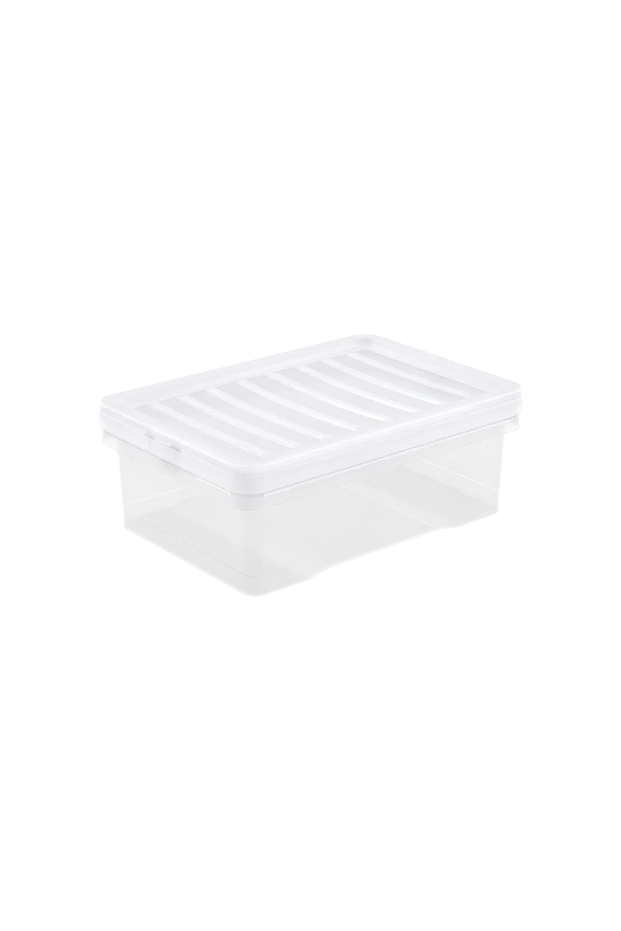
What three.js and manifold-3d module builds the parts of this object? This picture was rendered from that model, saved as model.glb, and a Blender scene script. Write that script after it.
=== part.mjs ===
// A clear plastic storage box: a tapered tub with a turned-down rim, and a ribbed lid that clips over it.
// Millimetres, +Z up. X runs along the long sides and Y along the short ends. The box stands on z = 0.
import * as THREE from 'three';
import { mergeVertices } from 'three/addons/utils/BufferGeometryUtils.js';
import Module from 'manifold-3d';

// Lid, outside: the lower edge of its skirt is the largest outline of the box
const lidLength = 404;
const lidWidth = 279.4;
const lidCorner = 27;
const lidWall = 1.6;
const skirtDrop = 16.8;
const skirtFlare = 0.6;
const stepOut = 1.0;
const stepChamfer = 0.7;
const borderHeight = 11.7;
const borderDraft = 0.4;
const borderWidth = 17.5;
const borderEdge = 2.2;
const innerEdge = 1.5;
const channelFillet = 0.8;

// Lid panel: sunk inside the border, slightly dished, with raised ribs across it
const recessDepth = 9;
const recessRun = 14;
const recessCorner = 16;
const panelCorner = 8;
const panelDish = 4;
const ribPitch = 39;
const middleBays = 3;
const middleBayExtra = 4;
const ribBase = 14;
const ribTop = 6.5;
const ribHeight = 2;

// End clips: a flap in the skirt between two slits, with a shallow notch in the border above each slit
const clipWidth = 46;
const clipSlit = 1;
const notchWidth = 14;
const notchDepth = 0.9;
const notchHeight = 12.2;
const hookHeight = 7;
const hookFace = 1.4;

// Tub: wall and floor
const tubHeight = 138;
const tubWall = 1.8;
const floorWall = 1.8;
const draftAngle = 2.05;
const endGap = 8.9;
const sideGap = 4.5;
const wallCorner = 22;
const baseEdge = 4;
const footLength = 70;
const waveLength = 36;
const waveRise = 5.5;
const waveFade = 9;

// Tub rim: a snap bead, a neck behind the lid's skirt, then a shoulder and a band below the lid
const beadHeight = 7;
const beadDepth = 1.9;
const beadSlope = 1.4;
const rimEdge = 1.2;
const shoulderGap = 4.2;
const shoulderStep = 1.5;
const shoulderSlope = 0.9;
const bandHeight = 15.3;
const bandFlare = 0.7;

// Stiffeners under the rim: a row of grip ribs at each end, and a gusset in each corner
const gripCount = 5;
const gripPitch = 7;
const gussetWall = 1.6;
const gussetLift = 3;

// Fits
const clearance = 0.3;
const snapClearance = 0.6;
const cutMargin = 1;

// Fineness of the round stretches
const cornerSteps = 8;
const curveSteps = 5;
const waveSteps = 6;
const panelRows = 8;
const notchSteps = 32;

// Levels
const seat = tubHeight + clearance;
const lidTop = seat + borderHeight;
const skirtFoot = seat - skirtDrop;
const panelLevel = lidTop - recessDepth;
const shoulder = skirtFoot - shoulderGap;
const bandFoot = shoulder - bandHeight;
const flangeUnder = tubHeight - tubWall;
const beadFoot = tubHeight - beadHeight;

// Insets from the outline of the skirt's lower edge
const stepInset = skirtFlare + stepOut;
const borderInset = stepInset + borderDraft;
const recessInset = borderInset + borderWidth;
const panelInset = recessInset + recessRun;
const beadInset = skirtFlare + lidWall + snapClearance;
const neckInset = beadInset + beadDepth;
const shoulderInset = neckInset - shoulderStep;
const bandInset = shoulderInset - bandFlare;
const endLedge = neckInset + tubWall + endGap;
const sideLedge = neckInset + tubWall + sideGap;

// How far the middle of a rounded edge lies in from the sharp corner, as a share of its radius
const edgeMiddle = 1 - Math.SQRT1_2;

const wasm = await Module();
wasm.setup();

// A closed geometry as a solid that can be joined and cut
function toSolid(geometry) {
  const bare = geometry.clone();
  bare.deleteAttribute('normal');
  bare.deleteAttribute('uv');
  const merged = mergeVertices(bare);
  const vertProperties = new Float32Array(merged.attributes.position.array);
  const triVerts = new Uint32Array(merged.index.array);
  return new wasm.Manifold(new wasm.Mesh({ numProp: 3, vertProperties, triVerts }));
}

function toGeometry(solid) {
  const { vertProperties, triVerts } = solid.getMesh();
  const geometry = new THREE.BufferGeometry();
  geometry.setAttribute('position', new THREE.BufferAttribute(vertProperties, 3));
  geometry.setIndex(new THREE.BufferAttribute(triVerts, 1));
  geometry.computeVertexNormals();
  return geometry;
}

// A rounded rectangle at a height, which is a number or a function of x and y
function ring(halfLength, halfWidth, radius, height) {
  const level = typeof height === 'function' ? height : () => height;
  return { halfLength, halfWidth, radius, level };
}

// A ring set in from the lid's outline. The corner stays concentric down to a least radius.
function lidRing(inset, height, leastCorner = 0) {
  const radius = Math.max(lidCorner - inset, leastCorner);
  return ring(lidLength / 2 - inset, lidWidth / 2 - inset, radius, height);
}

// A ring on the tub's drafted wall: inset is taken from the outside of the wall at that height
function wallRing(inset, atHeight, height = atHeight) {
  const taper = (tubHeight - atHeight) * Math.tan(THREE.MathUtils.degToRad(draftAngle)) + inset;
  const halfLength = lidLength / 2 - endLedge - taper;
  const halfWidth = lidWidth / 2 - sideLedge - taper;
  return ring(halfLength, halfWidth, wallCorner - taper, height);
}

// Points round a ring, anticlockwise from above.
// The grid gives the places along the straight runs, from -1 to 1.
function ringPoints({ halfLength, halfWidth, radius, level }, grid) {
  const runX = halfLength - radius;
  const runY = halfWidth - radius;
  const plan = [];
  const side = (places, toPlan) => places.forEach((place) => plan.push(toPlan(place)));
  const corner = (centreX, centreY, startAngle) => {
    for (let step = 1; step < cornerSteps; step += 1) {
      const angle = startAngle + (Math.PI / 2) * (step / cornerSteps);
      plan.push([centreX + radius * Math.cos(angle), centreY + radius * Math.sin(angle)]);
    }
  };
  side(grid.alongX, (u) => [u * runX, -halfWidth]);
  corner(runX, -runY, -Math.PI / 2);
  side(grid.alongY, (v) => [halfLength, v * runY]);
  corner(runX, runY, 0);
  side(grid.alongX, (u) => [-u * runX, halfWidth]);
  corner(-runX, runY, Math.PI / 2);
  side(grid.alongY, (v) => [-halfLength, -v * runY]);
  corner(-runX, -runY, Math.PI);
  return plan.map(([x, y]) => [x, y, level(x, y)]);
}

// Triangles that fill a ring with a rectangular grid, strips along its sides and fans in its corners
function capTriangles(grid, ringStart, gridStart) {
  const countX = grid.alongX.length;
  const countY = grid.alongY.length;
  const total = 2 * (countX + countY) + 4 * (cornerSteps - 1);
  const inner = (i, j) => gridStart + j * countX + i;
  const rim = (k) => ringStart + (k % total);
  const triangles = [];
  const quad = (a, b, c, d) => triangles.push([a, b, c], [a, c, d]);
  for (let j = 0; j < countY - 1; j += 1) {
    for (let i = 0; i < countX - 1; i += 1) {
      quad(inner(i, j), inner(i + 1, j), inner(i + 1, j + 1), inner(i, j + 1));
    }
  }
  const lastX = countX - 1;
  const lastY = countY - 1;
  const sides = [
    { count: countX, edge: (k) => inner(k, 0) },
    { count: countY, edge: (k) => inner(lastX, k) },
    { count: countX, edge: (k) => inner(lastX - k, lastY) },
    { count: countY, edge: (k) => inner(0, lastY - k) },
  ];
  let start = 0;
  for (const { count, edge } of sides) {
    for (let k = 0; k < count - 1; k += 1) {
      quad(rim(start + k), rim(start + k + 1), edge(k + 1), edge(k));
    }
    const cornerStart = start + count - 1;
    for (let k = 0; k < cornerSteps; k += 1) {
      triangles.push([edge(count - 1), rim(cornerStart + k), rim(cornerStart + k + 1)]);
    }
    start = cornerStart + cornerSteps;
  }
  return triangles;
}

// Triangles between two rings of as many points, given where each ring starts
function bandTriangles(total, lowStart, highStart) {
  return Array.from({ length: total }, (_, i) => {
    const next = (i + 1) % total;
    const [a, b] = [lowStart + i, lowStart + next];
    const [c, d] = [highStart + next, highStart + i];
    return [[a, b, c], [a, c, d]];
  }).flat();
}

function fromTriangles(points, triangles) {
  const geometry = new THREE.BufferGeometry();
  geometry.setAttribute('position', new THREE.Float32BufferAttribute(points.flat(), 3));
  geometry.setIndex(triangles.flat());
  return geometry;
}

// A closed hoop through a list of rings, with the last joined to the first
function hoop(rings, grid) {
  const points = rings.flatMap((each) => ringPoints(each, grid));
  const total = points.length / rings.length;
  const bands = rings.map((_, k) => bandTriangles(total, k * total, ((k + 1) % rings.length) * total));
  return fromTriangles(points, bands.flat());
}

// A closed shell through a list of rings: the first ring is filled facing down and the last facing up
function loft(rings, grid) {
  const points = rings.flatMap((each) => ringPoints(each, grid));
  const total = points.length / rings.length;
  const triangles = [];
  for (let k = 0; k < rings.length - 1; k += 1) {
    triangles.push(...bandTriangles(total, k * total, (k + 1) * total));
  }
  for (const [index, facesUp] of [[0, false], [rings.length - 1, true]]) {
    const { halfLength, halfWidth, radius, level } = rings[index];
    const gridStart = points.length;
    for (const v of grid.alongY) {
      for (const u of grid.alongX) {
        const [x, y] = [u * (halfLength - radius), v * (halfWidth - radius)];
        points.push([x, y, level(x, y)]);
      }
    }
    for (const [a, b, c] of capTriangles(grid, index * total, gridStart)) {
      triangles.push(facesUp ? [a, b, c] : [a, c, b]);
    }
  }
  return fromTriangles(points, triangles);
}

// A profile in the XZ plane, extruded along Y about the plane y = 0
function plate(profile, thickness) {
  const shape = new THREE.Shape(profile.map(([x, z]) => new THREE.Vector2(x, z)));
  const geometry = new THREE.ExtrudeGeometry(shape, { depth: thickness, bevelEnabled: false });
  return geometry.rotateX(Math.PI / 2).translate(0, thickness / 2, 0);
}

function evenSteps(count) {
  return Array.from({ length: count + 1 }, (_, k) => -1 + (2 * k) / count);
}

// Ribs across the panel: as many as fit between its corners, with a few wider bays in the middle
const panelRing = (height) => lidRing(panelInset, height, panelCorner);
const panelHalfLength = lidLength / 2 - panelInset;
const panelHalfWidth = lidWidth / 2 - panelInset;
const panelRun = panelHalfLength - panelCorner;
const ribRun = 2 * panelRun - ribBase - middleBays * middleBayExtra;
const ribCount = Math.floor(ribRun / ribPitch) + 1;
const ribPlaces = Array.from({ length: ribCount }, (_, k) => {
  const bays = k - (ribCount - 1) / 2;
  return bays * ribPitch + THREE.MathUtils.clamp(bays, -middleBays / 2, middleBays / 2) * middleBayExtra;
});

// Height of the panel over its edge: a dish that is flat along its length and fades out at the edge,
// and ribs that run out over its corner radius
function panelForm(x, y) {
  const dish = panelDish * (1 - (x / panelHalfLength) ** 4) * (1 - (y / panelHalfWidth) ** 2);
  const offset = Math.min(...ribPlaces.map((place) => Math.abs(x - place)));
  const across = THREE.MathUtils.clamp((ribBase / 2 - offset) / ((ribBase - ribTop) / 2), 0, 1);
  const along = THREE.MathUtils.clamp((panelHalfWidth - Math.abs(y)) / panelCorner, 0, 1);
  return ribHeight * across * along - dish;
}

// The hollow curve from the border down to the panel: steep at the border and level at the panel
function recessRings(startInset, endInset, startLevel) {
  return Array.from({ length: curveSteps }, (_, k) => {
    const angle = (Math.PI / 2) * ((k + 1) / curveSteps);
    const inset = startInset + (endInset - startInset) * (1 - Math.cos(angle));
    const height = startLevel - recessDepth * Math.sin(angle);
    const share = (inset - recessInset) / recessRun;
    const corner = THREE.MathUtils.lerp(recessCorner, panelCorner, THREE.MathUtils.clamp(share, 0, 1));
    return { inset, height, corner };
  });
}

function lidShell() {
  const ribWidths = [-ribBase, -ribTop, ribTop, ribBase];
  const ribEdges = ribPlaces.flatMap((place) => ribWidths.map((width) => place + width / 2));
  const grid = { alongX: [-1, ...ribEdges.map((x) => x / panelRun), 1], alongY: evenSteps(panelRows) };
  const toRing = ({ inset, height, corner }) => lidRing(inset, height, corner);
  const under = recessRings(recessInset - lidWall, panelInset, lidTop - lidWall).reverse();
  const above = recessRings(recessInset, panelInset, lidTop);
  const roof = lidTop - lidWall;
  return loft([
    panelRing((x, y) => panelLevel - lidWall + panelForm(x, y)),
    ...under.slice(1).map(toRing),
    lidRing(recessInset - lidWall, roof, recessCorner),
    lidRing(borderInset + lidWall + channelFillet, roof),
    lidRing(borderInset + lidWall, roof - channelFillet),
    lidRing(stepInset + lidWall, seat),
    lidRing(skirtFlare + lidWall, seat),
    lidRing(lidWall, skirtFoot),
    lidRing(0, skirtFoot),
    lidRing(skirtFlare, seat + lidWall - stepChamfer),
    lidRing(stepInset, seat + lidWall),
    lidRing(borderInset, lidTop - borderEdge),
    lidRing(borderInset + borderEdge * edgeMiddle, lidTop - borderEdge * edgeMiddle),
    lidRing(borderInset + borderEdge, lidTop),
    lidRing(recessInset - innerEdge, lidTop, recessCorner),
    ...above.slice(0, -1).map(toRing),
    panelRing((x, y) => panelLevel + panelForm(x, y)),
  ], grid);
}

// Cuts in each short end of the lid: the flap's opening in the skirt, and the two notches in the border
function endCuts() {
  const cutDepth = stepInset + lidWall + cutMargin;
  const opening = new THREE.BoxGeometry(cutDepth, clipWidth + 2 * clipSlit, skirtDrop + cutMargin);
  opening.translate(lidLength / 2 + cutMargin - cutDepth / 2, 0, seat - (skirtDrop + cutMargin) / 2);
  const notchRadius = ((notchWidth / 2) ** 2 + notchDepth ** 2) / (2 * notchDepth);
  const notchX = lidLength / 2 - borderInset - notchDepth + notchRadius;
  const notchY = (clipWidth + clipSlit) / 2;
  const notches = [-notchY, notchY].map((y) => {
    const height = notchHeight + cutMargin;
    const cutter = new THREE.CylinderGeometry(notchRadius, notchRadius, height, notchSteps);
    return cutter.rotateX(Math.PI / 2).translate(notchX, y, lidTop + cutMargin - height / 2);
  });
  return [opening, ...notches];
}

function lidGeometry() {
  let solid = toSolid(lidShell());
  for (const cut of endCuts()) {
    solid = solid.subtract(toSolid(cut)).subtract(toSolid(cut.rotateZ(Math.PI)));
  }
  return toGeometry(solid);
}

// A flap of the skirt at the +X end, drawn from its hinge line at the outer top edge
const hingeX = lidLength / 2 - skirtFlare;
const hingeZ = seat - clearance;
function clipGeometry() {
  const foot = skirtFoot - hingeZ;
  const innerFace = (z) => -lidWall + skirtFlare * (z / foot);
  const hookTip = hingeX - (lidLength / 2 - beadInset + clearance);
  const hookTop = foot + hookHeight;
  const profile = [
    [0, 0],
    [-lidWall, 0],
    [innerFace(hookTop), hookTop],
    [-hookTip, hookTop - hookFace],
    [-hookTip, hookTop - 2 * hookFace],
    [innerFace(hookTop - 4 * hookFace), hookTop - 4 * hookFace],
    [innerFace(foot), foot],
    [skirtFlare, foot],
  ];
  return plate(profile, clipWidth);
}

// The floor rises between two feet, in a smooth wave right across the tub
function floorWave(x) {
  const footEnd = wallRing(0, 0).halfLength - footLength;
  return waveRise * THREE.MathUtils.smoothstep(footEnd - Math.abs(x), 0, waveLength);
}

function tubGeometry() {
  const base = wallRing(baseEdge, 0);
  const run = base.halfLength - base.radius;
  const footEnd = wallRing(0, 0).halfLength - footLength;
  const waveStarts = Array.from({ length: waveSteps + 1 }, (_, k) => footEnd - (waveLength * k) / waveSteps);
  const right = waveStarts.map((x) => x / run).reverse();
  const left = right.map((u) => -u).reverse();
  const grid = { alongX: [-1, ...left, ...right, 1], alongY: evenSteps(2) };
  const baseMiddle = baseEdge * edgeMiddle;
  const innerEdgeRadius = baseEdge - tubWall;
  const innerMiddle = innerEdgeRadius * edgeMiddle;
  const onWave = (height) => (x) => floorWave(x) + height;
  return loft([
    wallRing(baseEdge, 0, onWave(0)),
    wallRing(baseMiddle, 0, onWave(baseMiddle)),
    wallRing(0, baseEdge, onWave(baseEdge)),
    wallRing(0, baseEdge + waveFade),
    wallRing(0, flangeUnder),
    wallRing(tubWall, flangeUnder),
    wallRing(tubWall, baseEdge + waveFade),
    wallRing(tubWall, baseEdge, onWave(floorWall + innerEdgeRadius)),
    wallRing(tubWall + innerMiddle, floorWall, onWave(floorWall + innerMiddle)),
    wallRing(baseEdge, floorWall, onWave(floorWall)),
  ], grid);
}

// The rim is one moulding with the tub. It is drawn as a hoop of its own, which sits on the wall's top edge.
function rimShell() {
  return hoop([
    wallRing(tubWall, flangeUnder),
    lidRing(neckInset + tubWall, flangeUnder),
    lidRing(neckInset + tubWall, shoulder),
    lidRing(shoulderInset + tubWall, shoulder - shoulderStep),
    lidRing(bandInset + tubWall, bandFoot),
    lidRing(bandInset, bandFoot),
    lidRing(shoulderInset, shoulder),
    lidRing(neckInset, shoulder + shoulderSlope),
    lidRing(neckInset, beadFoot - beadSlope),
    lidRing(beadInset, beadFoot),
    lidRing(beadInset, tubHeight - rimEdge),
    lidRing(beadInset + rimEdge, tubHeight),
    wallRing(tubWall - rimEdge, tubHeight),
    wallRing(tubWall, tubHeight - rimEdge),
  ], { alongX: evenSteps(1), alongY: evenSteps(1) });
}

// Outside of the tub's wall, as a distance in from the lid's outline along X
function endWallInset(height) {
  return lidLength / 2 - wallRing(0, height).halfLength;
}

// A stiffener under the rim, from just clear of the wall to the middle of the rim, drawn at the +X end
function gussetProfile(wallInset) {
  const foot = bandFoot + gussetLift;
  const top = tubHeight - tubWall / 2;
  const bandMiddle = bandInset + tubWall / 2 + (bandFlare * gussetLift) / bandHeight;
  const outer = lidLength / 2;
  return [
    [outer - wallInset(foot) + clearance, foot],
    [outer - bandMiddle, foot],
    [outer - shoulderInset - tubWall / 2, shoulder - shoulderStep],
    [outer - neckInset - tubWall / 2, shoulder],
    [outer - neckInset - tubWall / 2, top],
    [outer - wallInset(top) + clearance, top],
  ];
}

function gripRibs() {
  const places = Array.from({ length: gripCount }, (_, k) => (k - (gripCount - 1) / 2) * gripPitch);
  return places.map((y) => plate(gussetProfile(endWallInset), gussetWall).translate(0, y, 0));
}

// A corner gusset stands on the diagonal of the rim's corner,
// so its wall is where that diagonal meets the tub's corner
function cornerGusset(side) {
  const centreX = lidLength / 2 - lidCorner;
  const centreY = lidWidth / 2 - lidCorner;
  const diagonalInset = (height) => {
    const wall = wallRing(0, height);
    const awayX = centreX - wall.halfLength + wall.radius;
    const awayY = centreY - wall.halfWidth + wall.radius;
    const half = (awayX + awayY) / Math.SQRT2;
    const reach = Math.sqrt(half ** 2 - awayX ** 2 - awayY ** 2 + wall.radius ** 2) - half;
    return lidCorner - reach;
  };
  const gusset = plate(gussetProfile(diagonalInset), gussetWall);
  gusset.translate(lidCorner - lidLength / 2, 0, 0).rotateZ((side * Math.PI) / 4);
  return gusset.translate(centreX, side * centreY, 0);
}

function rimGeometry() {
  let solid = toSolid(rimShell());
  for (const rib of [...gripRibs(), cornerGusset(-1), cornerGusset(1)]) {
    solid = solid.add(toSolid(rib)).add(toSolid(rib.rotateZ(Math.PI)));
  }
  return toGeometry(solid);
}

function clearPlastic(color, roughness) {
  return new THREE.MeshStandardMaterial({ color, roughness, metalness: 0, transparent: true, opacity: 0.45 });
}

function named(name, geometry, material) {
  const mesh = new THREE.Mesh(geometry, material);
  mesh.name = name;
  return mesh;
}

const tub = new THREE.Group();
tub.add(named('tub', tubGeometry(), clearPlastic(0xe2e2e1, 0.16)));
tub.add(named('rim', rimGeometry(), clearPlastic(0xe2e2e1, 0.16)));

const lid = new THREE.Group();
lid.add(named('lid', lidGeometry(), clearPlastic(0xdbdfe9, 0.18)));
for (const [name, end] of [['clip_left', -1], ['clip_right', 1]]) {
  const clip = named(name, clipGeometry(), clearPlastic(0xdbdfe9, 0.18));
  clip.position.set(end * hingeX, 0, hingeZ);
  clip.rotation.z = end < 0 ? Math.PI : 0;
  lid.add(clip);
}

const box = new THREE.Group();
box.add(tub, lid);

export default box;
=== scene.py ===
"""A clear plastic storage box with a ribbed lid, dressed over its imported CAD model."""

import math

import bmesh
import bpy
import numpy as np
from mathutils import Matrix, Vector


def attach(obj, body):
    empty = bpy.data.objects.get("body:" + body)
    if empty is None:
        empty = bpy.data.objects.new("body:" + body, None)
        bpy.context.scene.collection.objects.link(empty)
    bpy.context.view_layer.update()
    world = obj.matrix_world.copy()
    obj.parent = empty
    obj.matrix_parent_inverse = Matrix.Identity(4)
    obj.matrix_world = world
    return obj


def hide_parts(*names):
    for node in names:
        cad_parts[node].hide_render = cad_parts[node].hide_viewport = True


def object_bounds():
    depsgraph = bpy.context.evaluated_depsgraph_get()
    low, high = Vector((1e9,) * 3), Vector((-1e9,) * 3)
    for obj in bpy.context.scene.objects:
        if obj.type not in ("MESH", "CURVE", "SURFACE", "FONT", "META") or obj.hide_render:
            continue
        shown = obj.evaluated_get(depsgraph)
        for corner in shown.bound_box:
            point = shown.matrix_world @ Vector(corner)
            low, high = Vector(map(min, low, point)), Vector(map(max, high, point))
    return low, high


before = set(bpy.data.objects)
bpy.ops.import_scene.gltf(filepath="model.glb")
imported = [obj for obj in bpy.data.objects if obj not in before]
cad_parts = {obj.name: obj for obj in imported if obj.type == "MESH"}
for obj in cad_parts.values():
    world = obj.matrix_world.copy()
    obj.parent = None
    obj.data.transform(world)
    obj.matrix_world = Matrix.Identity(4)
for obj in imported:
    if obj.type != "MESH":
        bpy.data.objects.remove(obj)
cad_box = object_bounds()

MM = 0.001

# Sizes in millimetres, as in the CAD model
LID_LENGTH, LID_WIDTH, LID_TOP = (round((high - low) / MM, 3) for low, high in zip(*cad_box))
LID_CORNER, LID_WALL = 27.0, 1.6
SKIRT_DROP, SKIRT_FLARE, STEP_OUT, STEP_CHAMFER = 16.8, 0.6, 1.0, 0.7
BORDER_DRAFT, BORDER_WIDTH, BORDER_EDGE, INNER_EDGE = 0.4, 17.5, 2.2, 1.5
RECESS_DEPTH, RECESS_RUN, RECESS_CORNER = 9.0, 14.0, 16.0
PANEL_CORNER, PANEL_DISH = 8.0, 4.0
RIB_PITCH, RIB_COUNT, RIB_BASE, RIB_TOP, RIB_HEIGHT = 39.0, 8, 14.0, 6.5, 2.0
MIDDLE_BAYS, MIDDLE_BAY_EXTRA = 3, 4.0
CLIP_WIDTH, CLIP_SLIT, HOOK_HEIGHT, HOOK_FACE = 46.0, 1.0, 7.0, 1.4
NOTCH_WIDTH, NOTCH_DEPTH, NOTCH_HEIGHT = 14.0, 0.9, 12.2
TUB_HEIGHT, TUB_WALL, FLOOR_WALL = 138.0, 1.8, 1.8
DRAFT = math.tan(math.radians(2.05))
END_GAP, SIDE_GAP, WALL_CORNER = 8.9, 4.5, 22.0
BASE_EDGE, FOOT_LENGTH, WAVE_LENGTH, WAVE_RISE, WAVE_FADE = 4.0, 70.0, 36.0, 5.5, 9.0
BEAD_HEIGHT, BEAD_DEPTH, BEAD_SLOPE, RIM_EDGE = 7.0, 1.9, 1.4, 1.2
SHOULDER_GAP, SHOULDER_STEP, BAND_HEIGHT, BAND_FLARE = 4.2, 1.5, 15.3, 0.7
GRIP_COUNT, GRIP_PITCH, GUSSET_WALL, GUSSET_LIFT = 5, 7.0, 1.6, 3.0
CLEARANCE, SNAP_CLEARANCE, CUT_MARGIN = 0.3, 0.6, 1.0

# Sizes in millimetres that only the dressed model has
SHOULDER_SLOPE, SHOULDER_BEND = 3.0, 1.2
TIGHT_BEND, SMALL_BEND, BEND, ROUND_BEND, ROOF_BEND = 0.4, 0.5, 0.6, 0.8, 0.9
RIB_BEND, CLIP_GAP, CLIP_EDGE, INNER_BASE_EXTRA = 1.2, 0.25, 0.35, 1.0
PANEL_STEPS = 0.0, 1.5, 3.0, 4.5, 6.0

# Places of the looks, in millimetres: where highlight lines, shade and a dark reflection are painted
RIB_END = 2.0
INNER_LINE, INNER_LINE_WIDTH, CREST_WIDTH, FLOOR_REACH = 21.5, 1.8, 4.0, 0.5
CORNER_FROM_FOOT, CORNER_FROM_MIDDLE = 30.0, 60.0
SHOULDER_REACH, SHOULDER_LINE_GAP = 3.0, 120.0

# Levels
SEAT = TUB_HEIGHT + CLEARANCE
SKIRT_FOOT = SEAT - SKIRT_DROP
PANEL_LEVEL = LID_TOP - RECESS_DEPTH
SHOULDER = SKIRT_FOOT - SHOULDER_GAP
BAND_FOOT = SHOULDER - BAND_HEIGHT
FLANGE_UNDER = TUB_HEIGHT - TUB_WALL
BEAD_FOOT = TUB_HEIGHT - BEAD_HEIGHT

# Insets from the outline of the skirt's lower edge
STEP_INSET = SKIRT_FLARE + STEP_OUT
BORDER_INSET = STEP_INSET + BORDER_DRAFT
RECESS_INSET = BORDER_INSET + BORDER_WIDTH
PANEL_INSET = RECESS_INSET + RECESS_RUN
BEAD_INSET = SKIRT_FLARE + LID_WALL + SNAP_CLEARANCE
NECK_INSET = BEAD_INSET + BEAD_DEPTH
SHOULDER_INSET = NECK_INSET - SHOULDER_STEP
BAND_INSET = SHOULDER_INSET - BAND_FLARE
END_LEDGE = NECK_INSET + TUB_WALL + END_GAP
SIDE_LEDGE = NECK_INSET + TUB_WALL + SIDE_GAP

PANEL_HALF_LENGTH = LID_LENGTH / 2 - PANEL_INSET
PANEL_HALF_WIDTH = LID_WIDTH / 2 - PANEL_INSET
HINGE_X = LID_LENGTH / 2 - SKIRT_FLARE
HINGE_Z = SEAT - CLEARANCE

# Fineness of the round stretches
CORNER_STEPS, EDGE_STEPS, RECESS_STEPS = 20, 4, 10
WAVE_PLACES, PANEL_ROWS, TUB_ROWS, NOTCH_STEPS = 25, 17, 5, 96

# Looks of a piece's faces, in the order of its materials
PLAIN, EDGE, RIM, CLEAR, SOFT, BASE, FLOOR = range(7)
CLIP_OUTSIDE, CLIP_INSIDE = range(2)

# How much of a face's normal points one way, for the face to count as turned that way
TURNED_SLIGHTLY, TURNED, TURNED_MOSTLY, TURNED_FULLY = 0.2, 0.3, 0.7, 0.9

# A ring is a rounded rectangle: half length, half width, corner radius, height,
# how much of the floor's wave and of the panel's form is added to the height,
# and which of the piece's looks the band that starts there has.
HALF_LENGTH, HALF_WIDTH, RADIUS, LEVEL, WAVE, FORM, LOOK = range(7)


def smoothstep(value):
    value = np.clip(value, 0.0, 1.0)
    return value * value * (3.0 - 2.0 * value)


def lid_ring(inset, height, least_corner=0.0, form=0.0):
    """A ring at an inset from the outline of the skirt's lower edge."""
    radius = max(LID_CORNER - inset, least_corner)
    return np.array([LID_LENGTH / 2 - inset, LID_WIDTH / 2 - inset, radius, height, 0.0, form, 0.0])


def wall_ring(inset, at_height, height=None, wave=0.0):
    """A ring at an inset from the tub's tapered wall at one height, drawn there or at another height."""
    taper = (TUB_HEIGHT - at_height) * DRAFT + inset
    level = at_height if height is None else height
    half_length = LID_LENGTH / 2 - END_LEDGE - taper
    half_width = LID_WIDTH / 2 - SIDE_LEDGE - taper
    return np.array([half_length, half_width, WALL_CORNER - taper, level, wave, 0.0, 0.0])


FOOT_END = wall_ring(0, 0)[HALF_LENGTH] - FOOT_LENGTH


def floor_wave(x):
    return WAVE_RISE * smoothstep((FOOT_END - np.abs(x)) / WAVE_LENGTH)


def rib_section():
    """Half of a rib's section, from its middle out: offsets and heights, with rounded edges."""
    corners = [
        (0.0, RIB_HEIGHT, 0.0),
        (RIB_TOP / 2, RIB_HEIGHT, RIB_BEND),
        (RIB_BASE / 2, 0.0, RIB_BEND),
        (RIB_PITCH / 2, 0.0, 0.0),
    ]
    points = []
    for k, (*here, cut) in enumerate(corners):
        if cut == 0.0:
            points.append(np.array(here))
        else:
            before, after = np.array(corners[k - 1][:2]), np.array(corners[k + 1][:2])
            points.extend(round_corner(before, np.array(here), after, cut, EDGE_STEPS))
    return np.array(points)


def round_corner(before, here, after, cut, steps, axes=slice(None)):
    """Points of a smooth bend that leaves both arms at a distance cut from the corner."""
    def arm(end):
        length = np.linalg.norm((end - here)[axes])
        return here + (end - here) * min(cut / length, 0.5)
    first, last = arm(before), arm(after)
    shares = np.linspace(0.0, 1.0, steps + 1)[:, None]
    return list((1 - shares) ** 2 * first + 2 * shares * (1 - shares) * here + shares ** 2 * last)


RIB_SECTION = rib_section()
BAYS = np.arange(RIB_COUNT) - (RIB_COUNT - 1) / 2
RIB_PLACES = BAYS * RIB_PITCH + np.clip(BAYS, -MIDDLE_BAYS / 2, MIDDLE_BAYS / 2) * MIDDLE_BAY_EXTRA


def panel_form(x, y):
    """Height of the lid's panel over its edge: a shallow dish, and ribs that run out at its long sides."""
    spread_x = np.clip(1 - (x / PANEL_HALF_LENGTH) ** 4, 0, 1)
    spread_y = np.clip(1 - (y / PANEL_HALF_WIDTH) ** 2, 0, 1)
    offset = np.min(np.abs(x[..., None] - RIB_PLACES), axis=-1)
    across = np.interp(offset, RIB_SECTION[:, 0], RIB_SECTION[:, 1])
    along = smoothstep((PANEL_HALF_WIDTH - np.abs(y)) / PANEL_CORNER)
    return across * along - PANEL_DISH * (spread_x * spread_y)


def levels(ring, x, y):
    return ring[LEVEL] + ring[WAVE] * floor_wave(x) + ring[FORM] * panel_form(x, y)


def profile(corners):
    """A list of rings from corners, each a ring, the cut that rounds it off,
    the look of that bend and the look of the band after it."""
    rings = []
    section = [HALF_LENGTH, LEVEL]
    for k, (ring, cut, bend_look, band_look) in enumerate(corners):
        if cut == 0:
            bend = [ring]
        else:
            bend = round_corner(corners[k - 1][0], ring, corners[k + 1][0], cut, EDGE_STEPS, section)
        for part in bend:
            part[LOOK] = bend_look
        bend[-1][LOOK] = band_look
        rings.extend(bend)
    return rings


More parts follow.
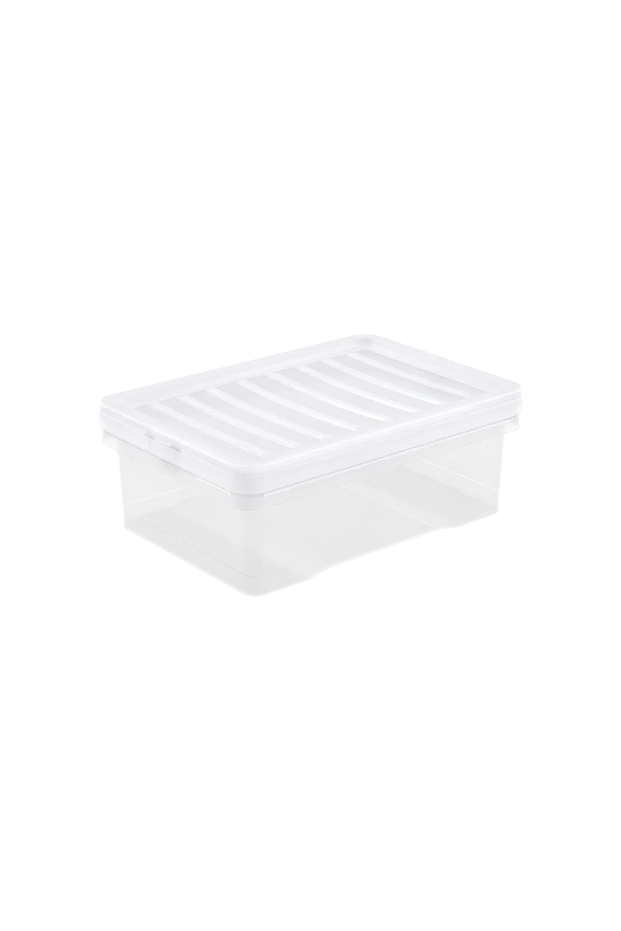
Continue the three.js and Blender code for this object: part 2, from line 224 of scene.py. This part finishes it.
def ring_points(ring, along_x, along_y):
    half_length, half_width, radius = ring[:LEVEL]
    run_x, run_y = half_length - radius, half_width - radius
    angles = (math.pi / 2) * np.arange(1, CORNER_STEPS) / CORNER_STEPS

    def corner(centre_x, centre_y, start):
        turn = start + angles
        return np.stack([centre_x + radius * np.cos(turn), centre_y + radius * np.sin(turn)], axis=1)

    def side(places_x, places_y):
        return np.stack(np.broadcast_arrays(places_x, places_y), axis=1)

    plan = np.concatenate([
        side(along_x * run_x, -half_width),
        corner(run_x, -run_y, -math.pi / 2),
        side(half_length, along_y * run_y),
        corner(run_x, run_y, 0.0),
        side(-along_x * run_x, half_width),
        corner(-run_x, run_y, math.pi / 2),
        side(-half_length, -along_y * run_y),
        corner(-run_x, -run_y, math.pi),
    ])
    return np.column_stack([plan, levels(ring, plan[:, 0], plan[:, 1])])


def cap_faces(count_x, count_y, ring_start, grid_start, total):
    """Faces that fill a ring: a rectangular grid, strips along its sides and fans in its corners."""
    def inner(i, j):
        return grid_start + j * count_x + i

    def rim(k):
        return ring_start + k % total

    faces = []
    for j in range(count_y - 1):
        for i in range(count_x - 1):
            faces.append((inner(i, j), inner(i + 1, j), inner(i + 1, j + 1), inner(i, j + 1)))
    last_x, last_y = count_x - 1, count_y - 1
    sides = [
        (count_x, lambda k: inner(k, 0)),
        (count_y, lambda k: inner(last_x, k)),
        (count_x, lambda k: inner(last_x - k, last_y)),
        (count_y, lambda k: inner(0, last_y - k)),
    ]
    start = 0
    for count, edge in sides:
        for k in range(count - 1):
            faces.append((rim(start + k), rim(start + k + 1), edge(k + 1), edge(k)))
        corner_start = start + count - 1
        for k in range(CORNER_STEPS):
            faces.append((edge(count - 1), rim(corner_start + k), rim(corner_start + k + 1)))
        start = corner_start + CORNER_STEPS
    return faces


def loft(name, rings, along_x, along_y):
    """A closed mesh through rings: the first is filled facing down and the last facing up."""
    points = [ring_points(ring, along_x, along_y) for ring in rings]
    total = len(points[0])
    faces = []
    for k in range(len(rings) - 1):
        for i in range(total):
            after = (i + 1) % total
            low, low_after = k * total + i, k * total + after
            faces.append((low, low_after, low_after + total, low + total))
    grid_start = len(rings) * total
    for index, faces_up in ((0, False), (len(rings) - 1, True)):
        ring = rings[index]
        run_x, run_y = ring[HALF_LENGTH] - ring[RADIUS], ring[HALF_WIDTH] - ring[RADIUS]
        x, y = np.meshgrid(along_x * run_x, along_y * run_y)
        x, y = x.ravel(), y.ravel()
        points.append(np.column_stack([x, y, levels(ring, x, y)]))
        cap = cap_faces(len(along_x), len(along_y), index * total, grid_start, total)
        faces.extend(cap if faces_up else [tuple(reversed(face)) for face in cap])
        grid_start += len(x)
    made = new_object(name, np.concatenate(points) * MM, faces)
    bands = np.repeat([int(ring[LOOK]) for ring in rings[:-1]], total)
    looks = np.zeros(len(faces), dtype=np.int32)
    looks[:len(bands)] = bands
    made.data.polygons.foreach_set("material_index", looks)
    return made


def new_object(name, points, faces):
    mesh = bpy.data.meshes.new(name)
    mesh.from_pydata([tuple(point) for point in points], [], faces)
    mesh.validate()
    made = bpy.data.objects.new(name, mesh)
    bpy.context.scene.collection.objects.link(made)
    return made


def prism(name, section, width):
    """A section in the XZ plane, in millimetres, drawn along Y about y = 0."""
    count = len(section)
    points = [(x * MM, side * width / 2 * MM, z * MM) for side in (-1, 1) for x, z in section]
    faces = [tuple(range(count)), tuple(reversed(range(count, 2 * count)))]
    for k in range(count):
        after = (k + 1) % count
        faces.append((k, k + count, after + count, after))
    made = new_object(name, points, faces)
    work = bmesh.new()
    work.from_mesh(made.data)
    bmesh.ops.recalc_face_normals(work, faces=work.faces)
    work.to_mesh(made.data)
    work.free()
    return made


def combine(target, tools, operation):
    """Joins tools to the target or cuts them from it, and removes the tools."""
    for tool in tools:
        step = target.modifiers.new("combine", "BOOLEAN")
        step.object = tool
        step.operation = operation
        step.solver = "EXACT"
        graph = bpy.context.evaluated_depsgraph_get()
        joined = bpy.data.meshes.new_from_object(target.evaluated_get(graph))
        target.modifiers.clear()
        target.data = joined
        bpy.data.objects.remove(tool)


def smooth(target, angle=32.0):
    """Smooth shading between sharp edges, with flat faces kept flat."""
    mesh = target.data
    mesh.shade_smooth()
    mesh.set_sharp_from_angle(angle=math.radians(angle))
    weighted = target.modifiers.new("flats", "WEIGHTED_NORMAL")
    weighted.weight = 80
    weighted.keep_sharp = True


# Lid
def recess_rings(start_inset, end_inset, start_level, look):
    """Rings down the round slope from the border to the panel."""
    rings = []
    for k in range(1, RECESS_STEPS + 1):
        angle = (math.pi / 2) * k / RECESS_STEPS
        inset = start_inset + (end_inset - start_inset) * (1 - math.cos(angle))
        height = start_level - RECESS_DEPTH * math.sin(angle)
        share = min(max((inset - RECESS_INSET) / RECESS_RUN, 0.0), 1.0)
        corner = RECESS_CORNER + (PANEL_CORNER - RECESS_CORNER) * share
        rings.append(lid_ring(inset, height, corner))
        rings[-1][LOOK] = look
    return rings


def panel_rings(height):
    """Rings from the edge of the panel inwards, where the ribs run out."""
    rings = []
    for inset in PANEL_STEPS:
        rings.append(lid_ring(PANEL_INSET + inset, height, PANEL_CORNER - inset, 1.0))
    return rings


def panel_grid():
    """Places of the panel's points along and across it, with a column at each bend of a rib."""
    inset = PANEL_STEPS[-1]
    edge = lid_ring(PANEL_INSET + inset, 0, PANEL_CORNER - inset)
    columns = set()
    for middle in RIB_PLACES:
        for offset in RIB_SECTION[:-1, 0]:
            columns |= {round(middle - offset, 4), round(middle + offset, 4)}
    shares = [x / (edge[HALF_LENGTH] - edge[RADIUS]) for x in sorted(columns)]
    return np.array([-1.0, *shares, 1.0]), np.linspace(-1.0, 1.0, PANEL_ROWS)


def make_lid():
    roof = LID_TOP - LID_WALL
    under = recess_rings(RECESS_INSET - LID_WALL, PANEL_INSET, roof, CLEAR)[:-1]
    # The slope down from the border into the panel gets a painted highlight (EDGE)
    above = recess_rings(RECESS_INSET, PANEL_INSET, LID_TOP, EDGE)[:-1]
    edge = profile([
        (under[0], 0, CLEAR, CLEAR),
        (lid_ring(RECESS_INSET - LID_WALL, roof, RECESS_CORNER), ROUND_BEND, CLEAR, CLEAR),
        (lid_ring(BORDER_INSET + LID_WALL, roof), ROOF_BEND, CLEAR, CLEAR),
        (lid_ring(STEP_INSET + LID_WALL, SEAT), SMALL_BEND, CLEAR, CLEAR),
        (lid_ring(SKIRT_FLARE + LID_WALL, SEAT), TIGHT_BEND, CLEAR, CLEAR),
        (lid_ring(LID_WALL, SKIRT_FOOT), SMALL_BEND, CLEAR, RIM),
        (lid_ring(0, SKIRT_FOOT), BEND, RIM, RIM),
        # EDGE paints highlight lines on the step and the border's outer edge; SOFT makes the border top
        # lighter
        (lid_ring(SKIRT_FLARE, SEAT + LID_WALL - STEP_CHAMFER), SMALL_BEND, EDGE, EDGE),
        (lid_ring(STEP_INSET, SEAT + LID_WALL), BEND, EDGE, BASE),
        (lid_ring(BORDER_INSET, LID_TOP), BORDER_EDGE, EDGE, SOFT),
        (lid_ring(RECESS_INSET, LID_TOP, RECESS_CORNER), INNER_EDGE, SOFT, EDGE),
        (above[0], 0, EDGE, EDGE),
    ])
    along_x, along_y = panel_grid()
    rings = [
        *panel_rings(PANEL_LEVEL - LID_WALL)[::-1],
        *under[::-1][:-1],
        *edge,
        *above[1:],
        *panel_rings(PANEL_LEVEL),
    ]
    lid = loft("lid_shell", rings, along_x, along_y)
    mark_ribs(lid.data)
    combine(lid, lid_cuts(), "DIFFERENCE")
    return lid


def mark_ribs(mesh):
    """Paints a sheen on each rib and brighter highlight lines on its two top edges, in milkier plastic."""
    for face in mesh.polygons:
        x, y = face.center.xy / MM
        on_panel = abs(x) < PANEL_HALF_LENGTH and abs(y) < PANEL_HALF_WIDTH - RIB_END
        offset = np.min(np.abs(x - RIB_PLACES))
        if on_panel and face.normal.z > 0 and offset < RIB_BASE / 2:
            face.material_index = EDGE if abs(offset - RIB_TOP / 2) < RIB_BEND else SOFT


def lid_cuts():
    """The clip's opening in the skirt at each end, and two notches in the border above it."""
    cuts = []
    depth = STEP_INSET + LID_WALL + CUT_MARGIN
    foot = SKIRT_FOOT - CUT_MARGIN
    radius = ((NOTCH_WIDTH / 2) ** 2 + NOTCH_DEPTH ** 2) / (2 * NOTCH_DEPTH)
    height = NOTCH_HEIGHT + CUT_MARGIN
    for end in (-1, 1):
        outer = end * (LID_LENGTH / 2 + CUT_MARGIN)
        inner = outer - end * depth
        section = [(inner, foot), (outer, foot), (outer, SEAT), (inner, SEAT)]
        cuts.append(prism("opening", section, CLIP_WIDTH + 2 * CLIP_SLIT))
        for side in (-1, 1):
            bpy.ops.mesh.primitive_cylinder_add(vertices=NOTCH_STEPS, radius=radius * MM, depth=height * MM)
            notch = bpy.context.object
            x = end * (LID_LENGTH / 2 - BORDER_INSET - NOTCH_DEPTH + radius)
            y = side * (CLIP_WIDTH + CLIP_SLIT) / 2
            notch.data.transform(place(x, y, LID_TOP + CUT_MARGIN - height / 2))
            cuts.append(notch)
    return cuts


def place(x, y, z):
    return Matrix.Translation((x * MM, y * MM, z * MM))


def make_clip(name, end):
    """The flap at one end: a plate below its hinge line, with a hook on its inner face."""
    foot = SKIRT_FOOT - HINGE_Z
    hook_top = foot + HOOK_HEIGHT
    hook_end = hook_top - 4 * HOOK_FACE
    hook_tip = LID_WALL + CLEARANCE

    def inner_face(z):
        return -LID_WALL + SKIRT_FLARE * (z / foot)

    corners = [
        (0, 0),
        (-LID_WALL, 0),
        (inner_face(hook_top), hook_top),
        (-hook_tip, hook_top - HOOK_FACE),
        (-hook_tip, hook_top - 2 * HOOK_FACE),
        (inner_face(hook_end), hook_end),
        (inner_face(foot), foot),
        (SKIRT_FLARE, foot),
    ]
    section = [(end * (HINGE_X + x), HINGE_Z + z) for x, z in corners]
    clip = prism(name, section, CLIP_WIDTH + 2 * (CLIP_SLIT - CLIP_GAP))
    bevel = clip.modifiers.new("edges", "BEVEL")
    bevel.width = CLIP_EDGE * MM
    bevel.segments = 3
    bevel.limit_method = "ANGLE"
    bevel.angle_limit = math.radians(35)
    for face in clip.data.polygons:
        turned_in = face.normal.x * end < -TURNED
        face.material_index = CLIP_INSIDE if turned_in else CLIP_OUTSIDE
    return clip


# Tub
def make_tub():
    inner_edge = BASE_EDGE - TUB_WALL + INNER_BASE_EXTRA
    rings = profile([
        (wall_ring(BASE_EDGE, 0, 0, 1.0), 0, PLAIN, PLAIN),
        # BASE paints a darker line of shade round the bottom edge
        (wall_ring(0, 0, 0, 1.0), BASE_EDGE, BASE, PLAIN),
        (wall_ring(0, BASE_EDGE + WAVE_FADE), 0, PLAIN, PLAIN),
        (wall_ring(0, FLANGE_UNDER), ROUND_BEND, RIM, RIM),
        # CLEAR on the neck, inside and out, paints out the shade in the gap under the lid's skirt
        (lid_ring(NECK_INSET + TUB_WALL, FLANGE_UNDER), ROUND_BEND, RIM, CLEAR),
        (lid_ring(NECK_INSET + TUB_WALL, SHOULDER), BEND, RIM, RIM),
        (lid_ring(SHOULDER_INSET + TUB_WALL, SHOULDER - SHOULDER_STEP), BEND, RIM, RIM),
        (lid_ring(BAND_INSET + TUB_WALL, BAND_FOOT), BEND, RIM, RIM),
        # EDGE paints milky highlight lines at the band's foot and at the shoulder
        (lid_ring(BAND_INSET, BAND_FOOT), BEND, EDGE, RIM),
        (lid_ring(SHOULDER_INSET, SHOULDER), SHOULDER_BEND, EDGE, RIM),
        (lid_ring(NECK_INSET, SHOULDER + SHOULDER_SLOPE), SMALL_BEND, RIM, CLEAR),
        (lid_ring(NECK_INSET, BEAD_FOOT - BEAD_SLOPE), BEND, RIM, RIM),
        (lid_ring(BEAD_INSET, BEAD_FOOT), BEND, RIM, RIM),
        (lid_ring(BEAD_INSET, TUB_HEIGHT), RIM_EDGE, RIM, RIM),
        (wall_ring(TUB_WALL, TUB_HEIGHT), RIM_EDGE, RIM, PLAIN),
        (wall_ring(TUB_WALL, INNER_LINE + INNER_LINE_WIDTH), 0, PLAIN, PLAIN),
        (wall_ring(TUB_WALL, INNER_LINE), 0, PLAIN, PLAIN),
        (wall_ring(TUB_WALL, BASE_EDGE + WAVE_FADE), 0, PLAIN, PLAIN),
        (wall_ring(TUB_WALL, FLOOR_WALL, FLOOR_WALL, 1.0), inner_edge, PLAIN, PLAIN),
        (wall_ring(TUB_WALL + inner_edge, FLOOR_WALL, FLOOR_WALL, 1.0), 0, PLAIN, PLAIN),
    ])
    base = wall_ring(BASE_EDGE, 0)
    wave = FOOT_END - WAVE_LENGTH * np.linspace(0.0, 1.0, WAVE_PLACES)
    right = np.sort(wave / (base[HALF_LENGTH] - base[RADIUS]))
    along_x = np.concatenate([[-1.0], -right[::-1], right, [1.0]])
    tub = loft("tub_shell", rings, along_x, np.linspace(-1.0, 1.0, TUB_ROWS))
    mark_inside(tub.data)
    mark_shoulder(tub.data)
    combine(tub, stiffeners(), "UNION")
    return tub


def mark_inside(mesh):
    """Looks of the inner faces low in the tub: a fine line round the walls, a painted highlight on the back
    and far end and painted shade on the near end; a painted dark reflection on the flat floor of the feet;
    and painted highlights, as clear plastic, on the crest of the floor's wave at the right
    and on the bends in its corners."""
    for face in mesh.polygons:
        x, y, z = face.center / MM
        turn_x, turn_y, turn_z = face.normal
        inward = turn_x * x < 0 or turn_y * y < 0
        on_line = INNER_LINE < z < INNER_LINE + INNER_LINE_WIDTH
        on_floor = FLOOR_WALL - FLOOR_REACH < z < FLOOR_WALL + WAVE_RISE + FLOOR_REACH
        in_corner = abs(x) > FOOT_END + CORNER_FROM_FOOT and abs(y) > CORNER_FROM_MIDDLE
        # The line round the walls: painted highlight on the back and far end, painted shade on the near end
        if on_line and inward:
            if turn_x < -TURNED or turn_y < -TURNED:
                face.material_index = CLEAR
            elif turn_x > TURNED_MOSTLY:
                face.material_index = SOFT
        elif on_floor and turn_z > TURNED_FULLY:
            # Painted dark, bluish reflection on the flat floor of the feet
            if abs(x) > FOOT_END:
                face.material_index = FLOOR
            # Painted highlight along the crest of the wave at the right
            elif 0.0 < x - FOOT_END + WAVE_LENGTH < CREST_WIDTH:
                face.material_index = CLEAR
        # Painted highlights on the floor's bends in the corners
        elif in_corner and inward and TURNED_SLIGHTLY < turn_z < TURNED_FULLY:
            face.material_index = CLEAR


def mark_shoulder(mesh):
    """Keeps the painted highlight line, in milky plastic, on the rim's shoulder along the long sides
    and beside one corner of each short end; the rest of the shoulder gets the rim's look.
    """
    run_x, run_y = LID_LENGTH / 2 - LID_CORNER, LID_WIDTH / 2 - LID_CORNER
    for face in mesh.polygons:
        x, y, z = face.center / MM
        if face.material_index != EDGE or abs(z - SHOULDER) > SHOULDER_REACH:
            continue
        on_side = abs(x) < run_x
        near_corner = SHOULDER_LINE_GAP / 2 < abs(y) < run_y and x * y > 0
        if not on_side and not near_corner:
            face.material_index = RIM


def gusset_section(wall_inset):
    """Section of a plate that fills the space between the wall and the rim."""
    foot, top = BAND_FOOT + GUSSET_LIFT, TUB_HEIGHT - TUB_WALL / 2
    flare = (SHOULDER_INSET - BAND_INSET) * GUSSET_LIFT / (SHOULDER - BAND_FOOT)
    band_middle = BAND_INSET + TUB_WALL / 2 + flare
    outer = LID_LENGTH / 2
    return [
        (outer - wall_inset(foot) - TUB_WALL / 2, foot),
        (outer - band_middle, foot),
        (outer - SHOULDER_INSET - TUB_WALL / 2, SHOULDER - SHOULDER_STEP),
        (outer - NECK_INSET - TUB_WALL / 2, SHOULDER),
        (outer - NECK_INSET - TUB_WALL / 2, top),
        (outer - wall_inset(top) - TUB_WALL / 2, top),
    ]


def stiffeners():
    """Grip ribs under the rim at each end, and a gusset on the diagonal of each corner."""
    centre_x, centre_y = LID_LENGTH / 2 - LID_CORNER, LID_WIDTH / 2 - LID_CORNER

    def end_inset(height):
        return LID_LENGTH / 2 - wall_ring(0, height)[HALF_LENGTH]

    def diagonal_inset(height):
        half_length, half_width, radius = wall_ring(0, height)[:LEVEL]
        away_x, away_y = centre_x - half_length + radius, centre_y - half_width + radius
        half = (away_x + away_y) / math.sqrt(2)
        return LID_CORNER - (math.sqrt(half ** 2 - away_x ** 2 - away_y ** 2 + radius ** 2) - half)

    ribs = []
    for turn in (0, math.pi):
        for k in range(GRIP_COUNT):
            rib = prism("grip", gusset_section(end_inset), GUSSET_WALL)
            rib.data.transform(place(0, (k - (GRIP_COUNT - 1) / 2) * GRIP_PITCH, 0))
            rib.data.transform(Matrix.Rotation(turn, 4, "Z"))
            ribs.append(rib)
        for side in (-1, 1):
            rib = prism("gusset", gusset_section(diagonal_inset), GUSSET_WALL)
            rib.data.transform(place(LID_CORNER - LID_LENGTH / 2, 0, 0))
            rib.data.transform(Matrix.Rotation(side * math.pi / 4, 4, "Z"))
            rib.data.transform(place(centre_x, side * centre_y, 0))
            rib.data.transform(Matrix.Rotation(turn, 4, "Z"))
            ribs.append(rib)
    return ribs


# Materials
COAT_IOR = 1.49
GLOSS = 0.1, 0.2


def clear_plastic(name, tint, seed, shade, milk, coat=1.0, coat_roughness=0.08, corner=None):
    """Clear, slightly milky moulded plastic, with a faint flow in its skin and soft clouds in its
    colour and gloss. The clouds are darker than the tint by shade, and corner paints shade
    into the upright corners."""
    material = bpy.data.materials.new(name)
    material.use_nodes = True
    nodes, links = material.node_tree.nodes, material.node_tree.links
    shader = nodes["Principled BSDF"]
    shader.inputs["IOR"].default_value = 1.0
    shader.inputs["Transmission Weight"].default_value = 1.0 - milk
    shader.inputs["Coat Weight"].default_value = coat
    shader.inputs["Coat IOR"].default_value = COAT_IOR
    shader.inputs["Coat Roughness"].default_value = coat_roughness
    place_node = nodes.new("ShaderNodeTexCoord")
    clouds = nodes.new("ShaderNodeTexNoise")
    clouds.noise_dimensions = "4D"
    clouds.inputs["W"].default_value = seed
    clouds.inputs["Scale"].default_value = 14.0
    clouds.inputs["Detail"].default_value = 4.0
    links.new(place_node.outputs["Object"], clouds.inputs["Vector"])
    colour = nodes.new("ShaderNodeValToRGB")
    cloudy, plain = colour.color_ramp.elements
    cloudy.color = (*[value - shade for value in tint], 1.0)
    cloudy.position = 0.3
    plain.color = (*tint, 1.0)
    plain.position = 0.7
    links.new(clouds.outputs["Fac"], colour.inputs["Fac"])
    links.new(colour.outputs["Color"], shader.inputs["Base Color"])
    # Painted shade in the upright corners
    if corner:
        paint_corner_shade(material, place_node.outputs["Object"], colour.outputs["Color"], *corner)
    gloss = nodes.new("ShaderNodeMapRange")
    gloss.inputs["To Min"].default_value = GLOSS[0]
    gloss.inputs["To Max"].default_value = GLOSS[1]
    links.new(clouds.outputs["Fac"], gloss.inputs["Value"])
    links.new(gloss.outputs["Result"], shader.inputs["Roughness"])
    flow = nodes.new("ShaderNodeTexNoise")
    flow.inputs["Scale"].default_value = 12.0
    flow.inputs["Detail"].default_value = 1.0
    links.new(place_node.outputs["Object"], flow.inputs["Vector"])
    skin = nodes.new("ShaderNodeBump")
    skin.inputs["Strength"].default_value = 0.5
    skin.inputs["Distance"].default_value = 0.0004
    links.new(flow.outputs["Fac"], skin.inputs["Height"])
    links.new(skin.outputs["Normal"], shader.inputs["Normal"])
    links.new(skin.outputs["Normal"], shader.inputs["Coat Normal"])
    return material


def paint_corner_shade(material, place_socket, tint_socket, reach, colour):
    """Paints shade into the upright corners: darker colour there stands in for the light that real round
    corners bend away where the plastic is seen at a slant.
    """
    nodes, links = material.node_tree.nodes, material.node_tree.links
    split = nodes.new("ShaderNodeSeparateXYZ")
    links.new(place_socket, split.inputs["Vector"])
    both = nodes.new("ShaderNodeMath")
    both.operation = "MULTIPLY"
    for k, (axis, (start, end)) in enumerate(zip("XY", reach)):
        size = nodes.new("ShaderNodeMath")
        size.operation = "ABSOLUTE"
        links.new(split.outputs[axis], size.inputs[0])
        share = nodes.new("ShaderNodeMapRange")
        share.interpolation_type = "SMOOTHSTEP"
        share.inputs["From Min"].default_value = start * MM
        share.inputs["From Max"].default_value = end * MM
        links.new(size.outputs["Value"], share.inputs["Value"])
        links.new(share.outputs["Result"], both.inputs[k])
    mix = nodes.new("ShaderNodeMixRGB")
    mix.inputs["Color2"].default_value = (*colour, 1.0)
    links.new(both.outputs["Value"], mix.inputs["Fac"])
    links.new(tint_socket, mix.inputs["Color1"])
    links.new(mix.outputs["Color"], material.node_tree.nodes["Principled BSDF"].inputs["Base Color"])


# Where painted shade darkens the corners along X and Y, in millimetres, and the colour that they get
WALL_SHADE_REACH = (160.0, 182.0), (102.0, 124.0)
EDGE_SHADE_REACH = (170.0, 198.0), (108.0, 136.0)
WALL_CORNER_SHADE = WALL_SHADE_REACH, (0.928, 0.921, 0.924)
RIM_CORNER_SHADE = EDGE_SHADE_REACH, (0.902, 0.904, 0.916)
SKIRT_CORNER_SHADE = EDGE_SHADE_REACH, (0.878, 0.886, 0.906)

TUB_TINT, TUB_HIGHLIGHT_TINT, TUB_CLEAR_TINT = (0.948, 0.941, 0.944), (0.988, 0.989, 0.997), (0.99, 0.988, 0.989)
RIM_TINT, SHADE_LINE_TINT = (0.944, 0.946, 0.959), (0.87, 0.868, 0.875)
BASE_SHADE_TINT, FLOOR_REFLECTION_TINT = (0.88, 0.873, 0.877), (0.882, 0.893, 0.909)
LID_TINT, LID_EDGE_TINT, LID_CLEAR_TINT = (0.963, 0.971, 0.993), (0.968, 0.976, 0.997), (0.985, 0.988, 0.995)
SKIRT_TINT = (0.91, 0.918, 0.939)
TUB_SEED, LID_SEED = 1.0, 7.0
PANEL_GLOSS, RIB_GLOSS = 0.12, 0.16

tub_looks = (
    # The wall's plastic, with painted shade in its upright corners
    clear_plastic("tub_plastic", TUB_TINT, TUB_SEED, shade=0.015, milk=0.15, coat=0.5, corner=WALL_CORNER_SHADE),
    # Painted highlight lines, in milky plastic
    clear_plastic("tub_highlight_line", TUB_HIGHLIGHT_TINT, TUB_SEED, shade=0.008, milk=0.82),
    # The rim's plastic: its blue is a painted cool light from above, and its upright corners get painted
    # shade
    clear_plastic("tub_rim", RIM_TINT, TUB_SEED, shade=0.01, milk=0.3, coat=0.6, corner=RIM_CORNER_SHADE),
    # Clear plastic: on the neck it paints out the shade under the lid's skirt, and low inside it gives
    # painted highlights
    clear_plastic("tub_clear", TUB_CLEAR_TINT, TUB_SEED, shade=0.005, milk=0.0),
    # A painted line of shade
    clear_plastic("tub_shade_line", SHADE_LINE_TINT, TUB_SEED, shade=0.02, milk=0.3, coat=0.3),
    # Painted shade along the bottom edge
    clear_plastic("tub_base_shade", BASE_SHADE_TINT, TUB_SEED, shade=0.015, milk=0.22, coat=0.1),
    # A painted dark reflection on the floor of the feet
    clear_plastic("tub_floor_reflection", FLOOR_REFLECTION_TINT, TUB_SEED, shade=0.015, milk=0.15),
)
# The skirt's plastic, with painted shade in its upright corners
lid_rim = clear_plastic("lid_rim", SKIRT_TINT, LID_SEED, shade=0.01, milk=0.65, corner=SKIRT_CORNER_SHADE)
lid_clear = clear_plastic("lid_clear", LID_CLEAR_TINT, LID_SEED, shade=0.005, milk=0.0)
lid_looks = (
    clear_plastic("lid_plastic", LID_TINT, LID_SEED, shade=0.01, milk=0.45, coat_roughness=PANEL_GLOSS),
    # Painted highlight lines on the lid's edges and on the ribs' top edges
    clear_plastic("lid_highlight_line", LID_EDGE_TINT, LID_SEED, shade=0.01, milk=0.85, coat=0.7,
                  coat_roughness=RIB_GLOSS),
    lid_rim,
    lid_clear,
    # A painted sheen on the ribs; also the lighter, milkier border top and its inner edge
    clear_plastic("lid_soft", LID_EDGE_TINT, LID_SEED, shade=0.01, milk=0.75, coat_roughness=RIB_GLOSS),
    clear_plastic("lid_side", SKIRT_TINT, LID_SEED, shade=0.01, milk=0.65),
)
clip_looks = (lid_rim, lid_clear)

pieces = [
    (make_tub(), ("tub", "rim"), tub_looks, "tub_plastic"),
    (make_lid(), ("lid",), lid_looks, "lid_plastic"),
    (make_clip("clip_left_flap", -1), ("clip_left",), clip_looks, "lid_plastic"),
    (make_clip("clip_right_flap", 1), ("clip_right",), clip_looks, "lid_plastic"),
]
for piece, nodes, looks, slot in pieces:
    smooth(piece)
    looks_of_faces = [face.material_index for face in piece.data.polygons]
    piece.data.materials.clear()
    for material in looks:
        piece.data.materials.append(material)
    piece.data.polygons.foreach_set("material_index", looks_of_faces)
    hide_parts(*nodes)
    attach(piece, nodes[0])


# Stage: places and sizes in metres, and the sky's brightness by height
STAGE_HALF, STAGE_DROP, STAGE_GLOW = 30.0, 0.0005, 0.96
SKY = [(0.0, 1.0), (0.05, 1.08), (0.16, 1.08), (0.22, 0.7), (0.45, 0.64)]
LIGHT_TARGET = 0, 0, 0.1
CAMERA_PLACE, CAMERA_TARGET = (-1.1069, -1.3396, 0.7426), (0.00427, 0.01005, 0.060)
CAMERA_LENS, CAMERA_SENSOR = 64.64, 36.0


def make_floor():
    """A wide sheet of pale paper that glows, just under the box."""
    sides = [(-1, -1), (1, -1), (1, 1), (-1, 1)]
    corners = [(x * STAGE_HALF, y * STAGE_HALF, -STAGE_DROP) for x, y in sides]
    floor = new_object("floor", corners, [(0, 1, 2, 3)])
    material = bpy.data.materials.new("floor_paper")
    material.use_nodes = True
    shader = material.node_tree.nodes["Principled BSDF"]
    shader.inputs["Base Color"].default_value = (0.1, 0.1, 0.1, 1.0)
    shader.inputs["Roughness"].default_value = 1.0
    shader.inputs["Specular IOR Level"].default_value = 0.0
    shader.inputs["Emission Color"].default_value = (1.0, 1.0, 1.0, 1.0)
    shader.inputs["Emission Strength"].default_value = STAGE_GLOW
    floor.data.materials.append(material)


def make_world():
    """A pale sky that is brightest near the horizon."""
    world = bpy.data.worlds.new("studio")
    bpy.context.scene.world = world
    world.use_nodes = True
    nodes, links = world.node_tree.nodes, world.node_tree.links
    background = nodes["Background"]
    coordinates = nodes.new("ShaderNodeTexCoord")
    split = nodes.new("ShaderNodeSeparateXYZ")
    links.new(coordinates.outputs["Generated"], split.inputs["Vector"])
    ramp = nodes.new("ShaderNodeValToRGB")
    for k, (height, value) in enumerate(SKY):
        stop = ramp.color_ramp.elements[k] if k < 2 else ramp.color_ramp.elements.new(height)
        stop.position = height
        stop.color = (value, value, value, 1.0)
    links.new(split.outputs["Z"], ramp.inputs["Fac"])
    links.new(ramp.outputs["Color"], background.inputs["Color"])
    background.inputs["Strength"].default_value = 1.0


def make_light(name, location, size, power, mirrored=True):
    """A soft light aimed at the box. One that isn't mirrored shows neither in gloss nor through plastic."""
    data = bpy.data.lights.new(name, "AREA")
    data.shape = "RECTANGLE"
    data.size, data.size_y = size
    data.energy = power
    light = bpy.data.objects.new(name, data)
    light.location = location
    light.visible_glossy = mirrored
    light.visible_transmission = mirrored
    light.rotation_mode = "QUATERNION"
    light.rotation_quaternion = (Vector(LIGHT_TARGET) - Vector(location)).to_track_quat("-Z", "Y")
    bpy.context.scene.collection.objects.link(light)


def make_camera():
    data = bpy.data.cameras.new("camera")
    data.lens = CAMERA_LENS
    data.sensor_width = CAMERA_SENSOR
    camera = bpy.data.objects.new("camera", data)
    camera.location = CAMERA_PLACE
    camera.rotation_mode = "QUATERNION"
    camera.rotation_quaternion = (Vector(CAMERA_TARGET) - camera.location).to_track_quat("-Z", "Y")
    bpy.context.scene.collection.objects.link(camera)
    bpy.context.scene.camera = camera


make_floor()
make_world()
make_light("top", (0, 0, 2.2), (1.6, 1.6), 4.0)
make_light("back", (0.558, 1.831, 1.707), (0.6, 0.3), 1.7)
make_light("left", (-0.411, 1.782, 1.805), (0.58, 0.44), 2.0)
make_light("right", (1.499, 0.131, 2.097), (1.74, 0.44), 4.8)
make_light("front side", (1.67, -1.503, 1.196), (1.15, 2.0), 14.5, mirrored=False)
make_light("end side", (-1.362, 1.875, 1.036), (1.15, 1.75), 16.0, mirrored=False)
make_camera()

scene = bpy.context.scene
scene.view_settings.view_transform = "Standard"
scene.cycles.max_bounces = 24
scene.cycles.transmission_bounces = 24
scene.cycles.glossy_bounces = 12
scene.cycles.diffuse_bounces = 6
